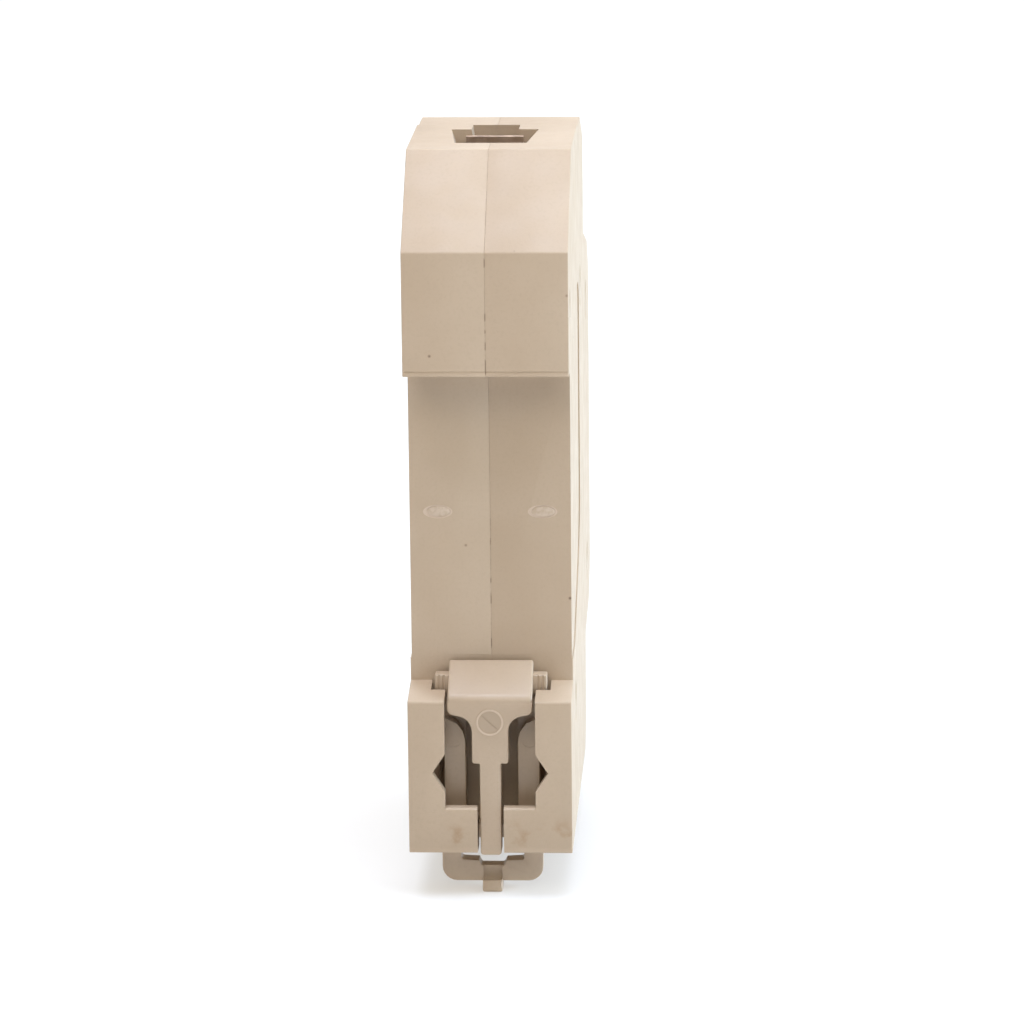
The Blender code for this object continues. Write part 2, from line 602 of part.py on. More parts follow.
def arc_chute():
    notched = ((-6.0, -18.5), (-2.6, -18.5), (-0.5, -11.0), (0.5, -11.0), (2.6, -18.5),
               (6.0, -18.5), (6.0, -4.2), (-6.0, -4.2))
    for index in range(PLATE_COUNT):
        low = LOWEST_PLATE + index * PLATE_PITCH
        splitter = plate(f"arc_plate_{index + 1}", notched, "Z", low, low + PLATE_THICKNESS)
        finish(splitter, ZINC)
    for name, x in (("arc_cheek_left", (6.3, 6.9)), ("arc_cheek_right", (-6.9, -6.3))):
        finish(box(name, x, (-18.8, -4.0), (-18.4, -1.0)), FIBRE)
    runner = ((-24.5, -18.2), (-24.0, -18.2), (-23.4, -19.3), (-4.2, -19.3), (-4.2, -19.8), (-23.8, -19.8))
    finish(plate("arc_runner", runner, "X", -3.5, 3.5), COPPER)


def overload_release():
    finish(box("bimetal_strip", (-2.4, 2.4), (-34.3, -33.5), (-21.3, -6.5)), BIMETAL)
    route = ((-2.0, -29.6, -1.0), (-3.0, -29.2, -2.6), (-3.5, -29.4, -4.6), (-3.5, -30.2, -6.4),
             (-3.1, -31.4, -7.9), (-2.3, -32.4, -8.9), (-1.6, -32.6, -9.8))
    finish(wire("braid", route, 0.55, smooth=True), COPPER)
    profile = ((0, -41.2), (1.5, -41.2), (1.7, -41.0), (1.7, -39.8), (1.0, -39.8), (1.0, -34.9), (0.6, -34.6),
               (0, -34.6))
    screw = turned("calibration_screw", profile, "Y", (0, 0, -18.0), 20)
    cut(screw, box("cut.calibration_slot", (-2.0, 2.0), (-42.0, -40.6), (-18.3, -17.7)))
    finish(screw, BRASS, (0, -36.0, -18.0))


def build():
    housing_half("housing_left", 1)
    housing_half("housing_right", -1)
    rivets()
    rail_clip()
    terminal_bars()
    for place in SCREW_Z:
        terminal_cage(place)
        terminal_screw(place)
    solenoid()
    toggle_lever()
    toggle_link()
    contact_arm()
    trip_lever()
    pivots()
    mechanism_springs()
    fixed_contact()
    arc_chute()
    overload_release()


clear_scene()
PARTS = new_collection("circuit_breaker")
CUTTERS = new_collection("cutters")
HOUSING = make_material("housing", (0.62, 0.53, 0.42), 0.55)
CLIP_PLASTIC = make_material("clip_plastic", (0.58, 0.48, 0.38), 0.5)
TOGGLE_PLASTIC = make_material("toggle_plastic", (0.05, 0.05, 0.055), 0.4)
TRIP_PLASTIC = make_material("trip_plastic", (0.75, 0.74, 0.7), 0.5)
DARK_PLASTIC = make_material("bobbin_plastic", (0.1, 0.09, 0.08), 0.6)
FIBRE = make_material("fibre_board", (0.45, 0.3, 0.2), 0.9)
STEEL = make_material("steel", (0.55, 0.55, 0.56), 0.35, 1.0)
SPRING_STEEL = make_material("spring_steel", (0.6, 0.6, 0.6), 0.3, 1.0)
ZINC = make_material("zinc_plate", (0.7, 0.68, 0.6), 0.4, 1.0)
COPPER = make_material("copper", (0.72, 0.4, 0.25), 0.35, 1.0)
BRASS = make_material("brass", (0.75, 0.6, 0.3), 0.35, 1.0)
SILVER = make_material("silver", (0.85, 0.85, 0.83), 0.3, 1.0)
BIMETAL = make_material("bimetal", (0.6, 0.58, 0.52), 0.4, 1.0)
build()
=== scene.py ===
"""Looks of the one-module circuit breaker: refined shells and clip, materials, studio and camera."""
import json
import math

import bmesh
import bpy
from mathutils import Matrix, Vector


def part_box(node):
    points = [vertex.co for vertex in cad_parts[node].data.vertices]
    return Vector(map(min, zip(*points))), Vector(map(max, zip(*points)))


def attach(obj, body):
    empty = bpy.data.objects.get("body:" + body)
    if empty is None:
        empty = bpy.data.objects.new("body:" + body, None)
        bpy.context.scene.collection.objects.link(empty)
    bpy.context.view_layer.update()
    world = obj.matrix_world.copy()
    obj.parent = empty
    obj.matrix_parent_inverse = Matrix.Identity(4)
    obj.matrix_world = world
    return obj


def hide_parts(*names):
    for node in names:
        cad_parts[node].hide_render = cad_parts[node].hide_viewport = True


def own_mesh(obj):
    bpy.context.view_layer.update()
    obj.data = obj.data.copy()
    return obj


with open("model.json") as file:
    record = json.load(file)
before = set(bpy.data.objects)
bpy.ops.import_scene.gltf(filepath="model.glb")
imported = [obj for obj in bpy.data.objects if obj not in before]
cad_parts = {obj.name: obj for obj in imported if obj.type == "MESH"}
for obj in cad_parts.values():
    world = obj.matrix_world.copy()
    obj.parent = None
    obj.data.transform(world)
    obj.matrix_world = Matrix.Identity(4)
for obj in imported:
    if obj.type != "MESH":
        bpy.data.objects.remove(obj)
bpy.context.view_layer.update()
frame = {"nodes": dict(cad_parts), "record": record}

MM = 0.001
NODES = frame["nodes"]


def node_box(name):
    """A CAD node's lowest and highest corner, in millimetres."""
    low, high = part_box(name)
    return Vector(low) / MM, Vector(high) / MM


HOUSING_LOW, HOUSING_HIGH = node_box("housing_left")
HALF_WIDTH = HOUSING_HIGH.x
REAR = HOUSING_HIGH.y
NOSE = HOUSING_LOW.y
TOP = HOUSING_HIGH.z
BOTTOM = HOUSING_LOW.z
FLOOR = node_box("rail_clip")[0].z
SCREW_Z = {}
for end in ("top", "bottom"):
    SCREW_Z[end] = sum(corner.z for corner in node_box(f"{end}_terminal_screw")) / 2

# Housing, in millimetres. SEAM is half the gap between the shells, BEYOND how far cutters overshoot.
SEAM = 0.005
BEYOND = 1.0
SIDE_WALL = 1.4
SHOULDER = -38.2
RAIL_HALF = 17.7
LUG_LIP = 16.5
CAVITY_REAR = -1.6
RELIEF_DEPTH = 0.14
SHAFT_RADIUS = 3.4
RIVET_HOLE = 1.3
RIVET_SINK = 2.15

# The rail clip's pocket, and the marks that the mould left
POCKET_HALF = 4.85
POCKET_FLOOR = -30.5
NOTCH_HALF = 6.2
SLOT_HALF = 1.42
REAR_LIP = 1.1
GATE_CENTRE = (5.6, 0.0, 0.7)
RING_Z = -21.15
RING_RADIUS = 1.35
CLIP_FACE = 5.3
ARM_FRONT = 0.37
ARM_FACE = 2.2

# Release
COIL_Z = 13.0


# ---------------------------------------------------------------- mesh helpers

SHARP_ANGLE = math.radians(35)
CORNER_ANGLE = math.radians(40)
AXIS_TURN = {
    "X": Matrix(((0, 0, 1), (1, 0, 0), (0, 1, 0))).to_4x4(),
    "Y": Matrix(((1, 0, 0), (0, 0, -1), (0, 1, 0))).to_4x4(),
    "Z": Matrix.Identity(4),
}


def link(name, mesh):
    piece = bpy.data.objects.new(name, mesh)
    bpy.context.scene.collection.objects.link(piece)
    return piece


def shade(mesh):
    """Smooth shading that stays crisp across edges sharper than SHARP_ANGLE."""
    mesh.shade_smooth()
    mesh.set_sharp_from_angle(angle=SHARP_ANGLE)


def to_piece(name, work):
    bmesh.ops.recalc_face_normals(work, faces=work.faces)
    mesh = bpy.data.meshes.new(name)
    work.to_mesh(mesh)
    work.free()
    shade(mesh)
    return link(name, mesh)


def rounded(corners, segments=6):
    """An outline with an arc at each corner. Corners are (a, b, radius)."""
    points = []
    count = len(corners)
    for index, (a, b, radius) in enumerate(corners):
        here = Vector((a, b))
        if radius == 0:
            points.append(here)
            continue
        before = (Vector(corners[index - 1][:2]) - here).normalized()
        after = (Vector(corners[(index + 1) % count][:2]) - here).normalized()
        half_angle = before.angle(after) / 2
        reach = radius / math.tan(half_angle)
        centre = here + (before + after).normalized() * (radius / math.sin(half_angle))
        start = here + before * reach - centre
        sweep = start.angle_signed(here + after * reach - centre)
        for step in range(segments + 1):
            points.append(centre + Matrix.Rotation(-sweep * step / segments, 2) @ start)
    return points


def ring_of(work, outline, along):
    return [work.verts.new((a * MM, b * MM, along * MM)) for a, b in outline]


def loft(name, lower, upper, axis, low, high, rims=(0.0, 0.0), rim_segments=3):
    """A solid between two outlines with as many points, with rounded rims at its two ends."""
    work = bmesh.new()
    rings = [ring_of(work, outline, along) for outline, along in ((lower, low), (upper, high))]
    ends = [work.faces.new(ring) for ring in rings]
    count = len(lower)
    for index in range(count):
        following = (index + 1) % count
        work.faces.new((rings[0][index], rings[0][following], rings[1][following], rings[1][index]))
    bmesh.ops.recalc_face_normals(work, faces=work.faces)
    for end, width in zip(ends, rims):
        if width:
            round_edges(work, list(end.edges), width, rim_segments)
    bmesh.ops.transform(work, matrix=AXIS_TURN[axis], verts=work.verts)
    return to_piece(name, work)


def plate(name, outline, axis, low, high, rims=(0.0, 0.0), rim_segments=3):
    """An outline extruded along an axis: (Y, Z) for X, (X, Y) for Z. For Y, (X, Z) with -Y as high."""
    if axis == "Y":
        low, high = -high, -low
        rims = rims[::-1]
    return loft(name, outline, outline, axis, low, high, rims, rim_segments)


def box(name, x, y, z, rounding=0.0):
    outline = ((x[0], y[0]), (x[1], y[0]), (x[1], y[1]), (x[0], y[1]))
    piece = plate(name, outline, "Z", z[0], z[1])
    if rounding:
        round_all(piece, rounding)
    return piece


def round_edges(work, edges, width, segments=3):
    bmesh.ops.bevel(work, geom=edges, offset=width * MM, offset_type="OFFSET", segments=segments,
                    profile=0.5, affect="EDGES", clamp_overlap=True)


def round_all(piece, width):
    """Rounds a simple piece's own edges before anything is cut from it."""
    work = bmesh.new()
    work.from_mesh(piece.data)
    edges = [e for e in work.edges if e.is_manifold and e.calc_face_angle() > CORNER_ANGLE]
    round_edges(work, edges, width)
    work.to_mesh(piece.data)
    work.free()
    shade(piece.data)


def turned(name, profile, axis, centre, segments=48):
    """A solid of revolution. The profile holds (radius, place along the axis), as a closed loop."""
    work = bmesh.new()
    rings = []
    for radius, along in profile:
        if radius == 0:
            rings.append([work.verts.new((0, 0, along * MM))])
            continue
        angles = [2 * math.pi * step / segments for step in range(segments)]
        rings.append([work.verts.new((radius * MM * math.cos(t), radius * MM * math.sin(t), along * MM))
                      for t in angles])
    closed = profile[0][0] > 0
    pairs = list(zip(rings, rings[1:])) + ([(rings[-1], rings[0])] if closed else [])
    for first, second in pairs:
        for step in range(segments):
            following = (step + 1) % segments
            corners = [first[step % len(first)], first[following % len(first)],
                       second[following % len(second)], second[step % len(second)]]
            unique = list(dict.fromkeys(corners))
            if len(unique) > 2:
                work.faces.new(unique)
    turn = AXIS_TURN[axis]
    if axis == "Y":
        turn = turn @ Matrix.Rotation(math.pi, 4, "X")
    bmesh.ops.transform(work, matrix=Matrix.Translation(Vector(centre) * MM) @ turn, verts=work.verts)
    return to_piece(name, work)


def rod(name, axis, centre, radius, low, high, segments=40):
    return turned(name, ((0, low), (radius, low), (radius, high), (0, high)), axis, centre, segments)


def combine(piece, tool, operation):
    """Cuts or joins with a tool at once, and removes the tool."""
    modifier = piece.modifiers.new(operation, "BOOLEAN")
    modifier.operation = operation
    modifier.solver = "EXACT"
    modifier.object = tool
    graph = bpy.context.evaluated_depsgraph_get()
    mesh = bpy.data.meshes.new_from_object(piece.evaluated_get(graph))
    piece.modifiers.clear()
    piece.data = mesh
    bpy.data.objects.remove(tool)


def cut(piece, tool):
    combine(piece, tool, "DIFFERENCE")


def join(piece, tool):
    combine(piece, tool, "UNION")


def dress(piece, material, body, *nodes, slot=None):
    """Gives a finished piece its material and body, and lets it stand for its CAD nodes."""
    piece.data.materials.clear()
    piece.data.materials.append(material)
    shade(piece.data)
    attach(piece, body)
    if nodes:
        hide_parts(*nodes)


# ---------------------------------------------------------------- materials

class Finish:
    """A Principled material whose colour, roughness and bump come from noise at real scale."""

    def __init__(self, name, roughness, metallic=0.0):
        self.material = bpy.data.materials.new(name)
        self.material.use_nodes = True
        self.tree = self.material.node_tree
        self.shader = self.tree.nodes["Principled BSDF"]
        self.shader.inputs["Metallic"].default_value = metallic
        self.shader.inputs["Roughness"].default_value = roughness
        self.place = self.tree.nodes.new("ShaderNodeTexCoord").outputs["Object"]

    def link(self, source, target):
        self.tree.links.new(source, target)

    def mapping(self, scale):
        node = self.tree.nodes.new("ShaderNodeMapping")
        node.inputs["Scale"].default_value = scale
        self.link(self.place, node.inputs["Vector"])
        return node.outputs["Vector"]

    def noise(self, size, detail=3.0, stretch=None):
        """Noise whose features measure about size millimetres."""
        node = self.tree.nodes.new("ShaderNodeTexNoise")
        node.inputs["Scale"].default_value = 1.0 / (size * MM)
        node.inputs["Detail"].default_value = detail
        self.link(self.mapping(stretch) if stretch else self.place, node.inputs["Vector"])
        return node.outputs["Fac"]

    def spots(self, size):
        """Distance from scattered points about size millimetres apart, as a share of that size."""
        node = self.tree.nodes.new("ShaderNodeTexVoronoi")
        node.inputs["Scale"].default_value = 1.0 / (size * MM)
        self.link(self.place, node.inputs["Vector"])
        return node.outputs["Distance"]

    def axis(self, letter):
        node = self.tree.nodes.new("ShaderNodeSeparateXYZ")
        self.link(self.place, node.inputs["Vector"])
        return node.outputs[letter]

    def vector_step(self, operation, source, value=None):
        node = self.tree.nodes.new("ShaderNodeVectorMath")
        node.operation = operation
        self.link(source, node.inputs[0])
        if value:
            node.inputs[1].default_value = value
        return node.outputs["Value" if operation == "LENGTH" else "Vector"]

    def reach(self, centre, radii):
        """Distance from a centre, in radii along each axis, alike on both sides of X=0. Millimetres."""
        folded = self.vector_step("MULTIPLY", self.place, (1.0 / MM,) * 3)
        folded = self.vector_step("ABSOLUTE", self.vector_step("MULTIPLY", folded, (1.0, 0.0, 0.0)))
        flat = self.vector_step("MULTIPLY", self.place, (0.0, 1.0 / MM, 1.0 / MM))
        node = self.tree.nodes.new("ShaderNodeVectorMath")
        node.operation = "ADD"
        self.link(folded, node.inputs[0])
        self.link(flat, node.inputs[1])
        away = self.vector_step("SUBTRACT", node.outputs["Vector"], centre)
        scale = tuple(1.0 / radius if radius else 0.0 for radius in radii)
        return self.vector_step("LENGTH", self.vector_step("MULTIPLY", away, scale))

    def ramp(self, source, low, high, start=0.0, end=1.0):
        """Source from low to high becomes start to end, with a smooth step."""
        node = self.tree.nodes.new("ShaderNodeMapRange")
        node.interpolation_type = "SMOOTHSTEP"
        node.inputs["From Min"].default_value = low
        node.inputs["From Max"].default_value = high
        node.inputs["To Min"].default_value = start
        node.inputs["To Max"].default_value = end
        self.link(source, node.inputs["Value"])
        return node.outputs["Result"]

    def times(self, first, second):
        node = self.tree.nodes.new("ShaderNodeMath")
        node.operation = "MULTIPLY"
        self.link(first, node.inputs[0])
        self.link(second, node.inputs[1])
        return node.outputs["Value"]

    def mix(self, share, first, second):
        """A colour between two, each a colour or an output, by the share output."""
        node = self.tree.nodes.new("ShaderNodeMix")
        node.data_type = "RGBA"
        self.link(share, node.inputs["Factor"])
        for value, socket in ((first, node.inputs["A"]), (second, node.inputs["B"])):
            if isinstance(value, tuple):
                socket.default_value = (*value, 1.0)
            else:
                self.link(value, socket)
        return node.outputs["Result"]

    def colour(self, output):
        self.link(output, self.shader.inputs["Base Color"])

    def roughness(self, output):
        self.link(output, self.shader.inputs["Roughness"])

    def bump(self, height, depth):
        """Bump whose full height is depth millimetres."""
        node = self.tree.nodes.new("ShaderNodeBump")
        node.inputs["Distance"].default_value = depth * MM
        node.inputs["Strength"].default_value = 1.0
        self.link(height, node.inputs["Height"])
        self.link(node.outputs["Normal"], self.shader.inputs["Normal"])


def moulded_plastic(name, base, deep, roughness, grain=0.16, depth=0.012):
    """Satin moulded plastic: flow mottling, a spark-eroded grain and a slightly uneven gloss."""
    finish = Finish(name, roughness)
    finish.shader.inputs["IOR"].default_value = 1.49
    mottle = finish.mix(finish.ramp(finish.noise(9.0, 4.0), 0.35, 0.68), base, deep)
    grain_tone = tuple(value * 0.93 for value in deep)
    finish.colour(finish.mix(finish.ramp(finish.noise(0.35, 2.0), 0.45, 0.75, 0.0, 0.35), mottle, grain_tone))
    finish.roughness(finish.ramp(finish.noise(3.0), 0.3, 0.7, roughness - 0.06, roughness + 0.08))
    finish.bump(finish.noise(grain, 2.0), depth)
    return finish


def housing_material():
    """Aged cream housing: specks, brown stains on the lower lug, a dirty seam, and torn-off gates ringed by a
    painted highlight.
    """
    finish = moulded_plastic("housing_plastic", HOUSING_TONE, HOUSING_SHADE, 0.52)
    clean = finish.shader.inputs["Base Color"].links[0].from_socket
    specks = finish.ramp(finish.spots(5.5), 0.018, 0.05, 1.0, 0.0)
    speckled = finish.mix(specks, clean, (0.16, 0.10, 0.06))

    low = finish.ramp(finish.axis("Z"), (BOTTOM + 4.5) * MM, (BOTTOM + 1.6) * MM)
    above = finish.ramp(finish.axis("Z"), (BOTTOM + 0.4) * MM, (BOTTOM + 1.4) * MM)
    blotch = finish.ramp(finish.noise(2.6, 5.0), 0.5, 0.68, 0.0, 0.7)
    rear = finish.ramp(finish.axis("Y"), (REAR - 1.0) * MM, (REAR - 0.3) * MM)
    stain = finish.times(finish.times(low, above), finish.times(blotch, rear))
    stained = finish.mix(stain, speckled, (0.36, 0.22, 0.11))

    # The seam is nearly clean along the rail recess's upper half, and fainter on the upper slope
    seam = finish.ramp(finish.reach((0, 0, 0), (0.09, 0, 0)), 0.6, 1.0, 1.0, 0.0)
    seam_dirt = finish.times(seam, finish.ramp(finish.noise(1.6, 4.0), 0.48, 0.6, 0.0, 0.7))
    upper_slope = finish.ramp(finish.axis("Z"), 29.0 * MM, 30.5 * MM, 1.0, 0.25)
    below_lug = finish.ramp(finish.axis("Z"), 16.3 * MM, 16.6 * MM, 1.0, 0.0)
    clean_zone = finish.times(finish.ramp(finish.axis("Z"), -5.0 * MM, 2.0 * MM), below_lug)
    seam_dirt = finish.times(seam_dirt, upper_slope)
    seam_dirt = finish.times(seam_dirt, finish.ramp(clean_zone, 0.0, 1.0, 0.8, 0.1))
    dirty = finish.mix(seam_dirt, stained, (0.20, 0.13, 0.08))

    # Each gate is a torn pale patch, with a painted highlight drawn as a brighter lip around it
    from_gate = finish.reach(GATE_CENTRE, (1.35, 0.4, 0.62))
    gate = finish.ramp(from_gate, 0.85, 1.05, 1.0, 0.0)
    torn = finish.times(gate, finish.ramp(finish.noise(0.5, 3.0), 0.35, 0.6, 0.15, 0.75))
    marked = finish.mix(torn, dirty, (0.60, 0.485, 0.38))
    painted_lip_highlight = finish.times(finish.ramp(from_gate, 0.86, 0.93), finish.ramp(from_gate, 1.12, 1.2, 0.7, 0.0))
    finish.colour(finish.mix(painted_lip_highlight, marked, (0.66, 0.54, 0.43)))
    return finish.material


def clip_material():
    """Glossier than the housing, with a painted highlight on the ejector ring's rim and painted shade on the
    disc inside it.
    """
    finish = moulded_plastic("clip_plastic", CLIP_TONE, CLIP_SHADE, 0.36, 0.3, 0.006)
    clean = finish.shader.inputs["Base Color"].links[0].from_socket
    from_ring = finish.reach((0, CLIP_FACE, RING_Z), (RING_RADIUS, 1.2, RING_RADIUS))
    # Painted shade darkens the disc inside the ring, and a painted highlight lightens its rim
    inside = finish.ramp(from_ring, 0.86, 0.92, 0.45, 0.0)
    painted_shade_disc = finish.mix(inside, clean, tuple(value * 0.8 for value in CLIP_SHADE))
    rim = finish.times(finish.ramp(from_ring, 0.9, 0.95), finish.ramp(from_ring, 1.04, 1.1, 0.5, 0.0))
    finish.colour(finish.mix(rim, painted_shade_disc, (0.70, 0.57, 0.44)))
    return finish.material


def metal(name, base, tarnish, roughness, brushed):
    """Worked metal: tarnish in patches, fine drawing lines and uneven polish."""
    patch = 2.0
    finish = Finish(name, roughness, 1.0)
    finish.colour(finish.mix(finish.ramp(finish.noise(patch, 5.0), 0.4, 0.72), base, tarnish))
    finish.roughness(finish.ramp(finish.noise(patch / 3, 3.0), 0.3, 0.7, roughness - 0.08, roughness + 0.16))
    finish.bump(finish.noise(0.25, 2.0, brushed or (1.0, 1.0, 1.0)), 0.006)
    return finish.material


def fibre_board(name):
    finish = Finish(name, 0.85)
    strands = finish.noise(0.5, 4.0, (1.0, 0.25, 1.0))
    finish.colour(finish.mix(finish.ramp(strands, 0.35, 0.7), (0.36, 0.20, 0.11), (0.22, 0.11, 0.06)))
    finish.bump(strands, 0.03)
    return finish.material


def woven_copper(name):
    """A braid's strands, as bright copper bands with dark gaps between."""
    finish = Finish(name, 0.38, 1.0)
    wave = finish.tree.nodes.new("ShaderNodeTexWave")
    wave.inputs["Scale"].default_value = 700.0
    wave.inputs["Distortion"].default_value = 1.5
    finish.link(finish.place, wave.inputs["Vector"])
    finish.colour(finish.mix(wave.outputs["Fac"], (0.34, 0.14, 0.07), (0.80, 0.43, 0.26)))
    finish.bump(wave.outputs["Fac"], 0.08)
    return finish.material


HOUSING_TONE = (0.50, 0.386, 0.272)
HOUSING_SHADE = (0.475, 0.362, 0.250)
CLIP_TONE = (0.49, 0.378, 0.268)
CLIP_SHADE = (0.465, 0.355, 0.248)

MATERIALS = {"housing_plastic": housing_material(), "clip_plastic": clip_material()}
for name, base, deep, roughness in (
    ("toggle_plastic", (0.030, 0.030, 0.034), (0.018, 0.018, 0.020), 0.36),
    ("trip_plastic", (0.72, 0.71, 0.66), (0.62, 0.60, 0.55), 0.45),
    ("bobbin_plastic", (0.05, 0.045, 0.04), (0.03, 0.026, 0.024), 0.5),
):
    MATERIALS[name] = moulded_plastic(name, base, deep, roughness).material
MATERIALS["fibre_board"] = fibre_board("fibre_board")
for name, base, tarnish, roughness, brushed in (
    ("steel", (0.56, 0.56, 0.57), (0.36, 0.34, 0.31), 0.32, (1.0, 1.0, 0.1)),
    ("spring_steel", (0.62, 0.62, 0.63), (0.40, 0.38, 0.35), 0.25, None),
    ("zinc_plate", (0.66, 0.60, 0.44), (0.46, 0.36, 0.20), 0.34, (0.1, 1.0, 1.0)),
    ("copper", (0.74, 0.40, 0.25), (0.42, 0.19, 0.11), 0.33, (1.0, 1.0, 0.15)),
    ("brass", (0.78, 0.58, 0.27), (0.52, 0.35, 0.14), 0.28, (1.0, 0.1, 1.0)),
    ("silver", (0.82, 0.81, 0.78), (0.50, 0.47, 0.43), 0.3, None),
    ("bimetal", (0.60, 0.56, 0.48), (0.38, 0.33, 0.27), 0.38, (1.0, 1.0, 0.08)),
):
    MATERIALS[name] = metal(name, base, tarnish, roughness, brushed)
BRAID = woven_copper("braid_copper")
BAR = metal("bar_copper", (0.66, 0.50, 0.39), (0.36, 0.26, 0.20), 0.42, (1.0, 1.0, 0.15))


def finish_cad_nodes():
    """Every CAD node takes its slot's finish. Hidden ones lose nothing by it."""
    for row in frame["record"]["subparts"]:
        node = NODES[row["node"]]
        node.data.materials.clear()
        node.data.materials.append(MATERIALS[row["material_slot"]])
    NODES["braid"].data.materials[0] = BRAID
    for place in SCREW_Z:
        NODES[f"{place}_terminal_bar"].data.materials[0] = BAR


# ---------------------------------------------------------------- housing

def housing_outline():
    return rounded((
        (0.0, RAIL_HALF, 0), (1.3, RAIL_HALF, 0), (1.3, LUG_LIP, 0.15), (REAR, LUG_LIP, 0.12),
        (REAR, LUG_LIP + 0.15, 0), (REAR - 0.09, LUG_LIP + 0.52, 0), (REAR, LUG_LIP + 0.6, 0),
        (REAR, 29.7, 0.4), (-4.7, TOP, 0.4), (-22.0, TOP, 0.1), (-22.3, 38.6, 0.1),
        (-30.5, 38.6, 1.5), (SHOULDER, 35.2, 1.2), (SHOULDER, 24.3, 1.0),
        (-50.5, 21.2, 2.5), (NOSE, 17.4, 2.5), (NOSE, -17.4, 2.5), (-50.5, -21.2, 2.5),
        (SHOULDER, -22.5, 1.0), (SHOULDER, -32.4, 1.2), (-34.9, BOTTOM, 1.2),
        (REAR, BOTTOM, 0.15), (REAR, BOTTOM + 0.2, 0), (REAR - 0.06, BOTTOM + 0.62, 0),
        (REAR, BOTTOM + 0.75, 0), (REAR, -18.75, 0.3), (0.0, -17.85, 0),
    ))


CAVITY = (
    (CAVITY_REAR, -16.2), (CAVITY_REAR, 33.8), (-5.0, 37.0), (-29.5, 37.0), (-36.6, 33.8),
    (-36.6, 23.0), (-49.8, 19.7), (-52.6, 16.6), (-52.6, -16.6), (-49.8, -19.6),
    (-36.6, -20.9), (-36.6, -31.8), (-34.4, -33.9), (-3.6, -33.9), (-3.6, -16.2),
)


def wire_entry(grow):
    """The wire entry's outline, wider by grow on every side but the middle."""
    return (
        (-3.5 - grow, -9.2 + grow), (-4.4 - grow, -18.5), (-2.4 - grow / 2, -18.5), (-2.4 - grow / 2, -21.7),
        (2.4 + grow / 2, -21.7), (2.4 + grow / 2, -18.5), (4.4 + grow, -18.5), (3.5 + grow, -9.2 + grow),
    )


def pocket_outline():
    half = ((0.0, -15.0), (POCKET_HALF, -15.0), (POCKET_HALF, -24.6), (NOTCH_HALF, -26.65),
            (POCKET_HALF, -28.7), (POCKET_HALF, POCKET_FLOOR), (SLOT_HALF, POCKET_FLOOR),
            (SLOT_HALF, -37.0), (0.0, -37.0))
    return half + tuple((-x, z) for x, z in reversed(half[1:-1]))


def bottom_wall_lead():
    """A cutter that eases the top edge of the pocket's bottom wall."""
    above = POCKET_FLOOR + 0.3
    return ((REAR + 0.1, above), (REAR + 0.1, POCKET_FLOOR - 0.3),
            (REAR - 0.2, POCKET_FLOOR), (REAR - 0.2, above))


def terminal_cuts(half):
    """The screw shafts and the wire entries, both with eased mouths."""
    outside = SHOULDER - BEYOND
    for place, z in SCREW_Z.items():
        mouth = ((0, outside), (SHAFT_RADIUS + 1.4, outside), (SHAFT_RADIUS, SHOULDER + 0.4),
                 (SHAFT_RADIUS, -36.0), (0, -36.0))
        cut(half, turned(f"mouth_{place}", mouth, "Y", (0, 0, z)))
        low, high = (36.0, 40.0) if place == "top" else (-36.5, -33.0)
        cut(half, plate(f"entry_{place}", wire_entry(0.0), "Z", low, high))
    cut(half, loft("funnel_top", wire_entry(0.0), wire_entry(0.35), "Z", TOP - 1.0, TOP + 0.02))
    cut(half, loft("funnel_bottom", wire_entry(0.35), wire_entry(0.0), "Z", BOTTOM - 0.02, BOTTOM + 1.0))


def clip_cuts(half):
    """The clip's pocket, and the room that its ears, arms and head slide in."""
    cut(half, plate("pocket", pocket_outline(), "Y", 1.0, REAR + BEYOND))
    cut(half, box("ear_channel", (-6.4, 6.4), (-0.02, 2.6), (-23.0, -15.0)))
    cut(half, box("arm_channel", (-5.7, 5.7), (-0.02, 2.6), (-37.0, -16.0)))
    cut(half, box("chamber", (-6.5, 6.5), (0.9, REAR - REAR_LIP), (-31.9, -19.9)))
    cut(half, box("well", (-5.3, 5.3), (-1.8, 1.5), (-34.0, -18.2)))
    cut(half, plate("bottom_wall_lead", bottom_wall_lead(), "X", -POCKET_HALF, POCKET_HALF))


def ellipse(centre, a, b):
    steps = [2 * math.pi * index / 40 for index in range(40)]
    return [(centre[0] + a * math.cos(t), centre[1] + b * math.sin(t)) for t in steps]


def gate_mark(half, side):
    """A shallow oval dish with the torn-off gate's stub standing in it."""
    centre = (side * GATE_CENTRE[0], GATE_CENTRE[2])
    cut(half, plate("gate_dish", ellipse(centre, 1.4, 0.7), "Y", -0.07, 0.5))
    stub = (centre[0] - 0.08, centre[1] + 0.02)
    join(half, plate("gate_stub", ellipse(stub, 1.24, 0.56), "Y", -0.4, -0.005, (0, 0.05), 2))


def side_relief(half, side):
    """The shallow panel on the outer face, open at the rail recess."""
    outline = rounded(((2.0, 21.8, 0), (-23.6, 21.8, 3.0), (-23.6, -6.0, 9.0), (-6.0, -15.4, 5.0),
                       (2.0, -15.4, 0)), segments=10)
    low, high = sorted((side * (HALF_WIDTH - RELIEF_DEPTH), side * (HALF_WIDTH + BEYOND)))
    cut(half, plate("relief", outline, "X", low, high))


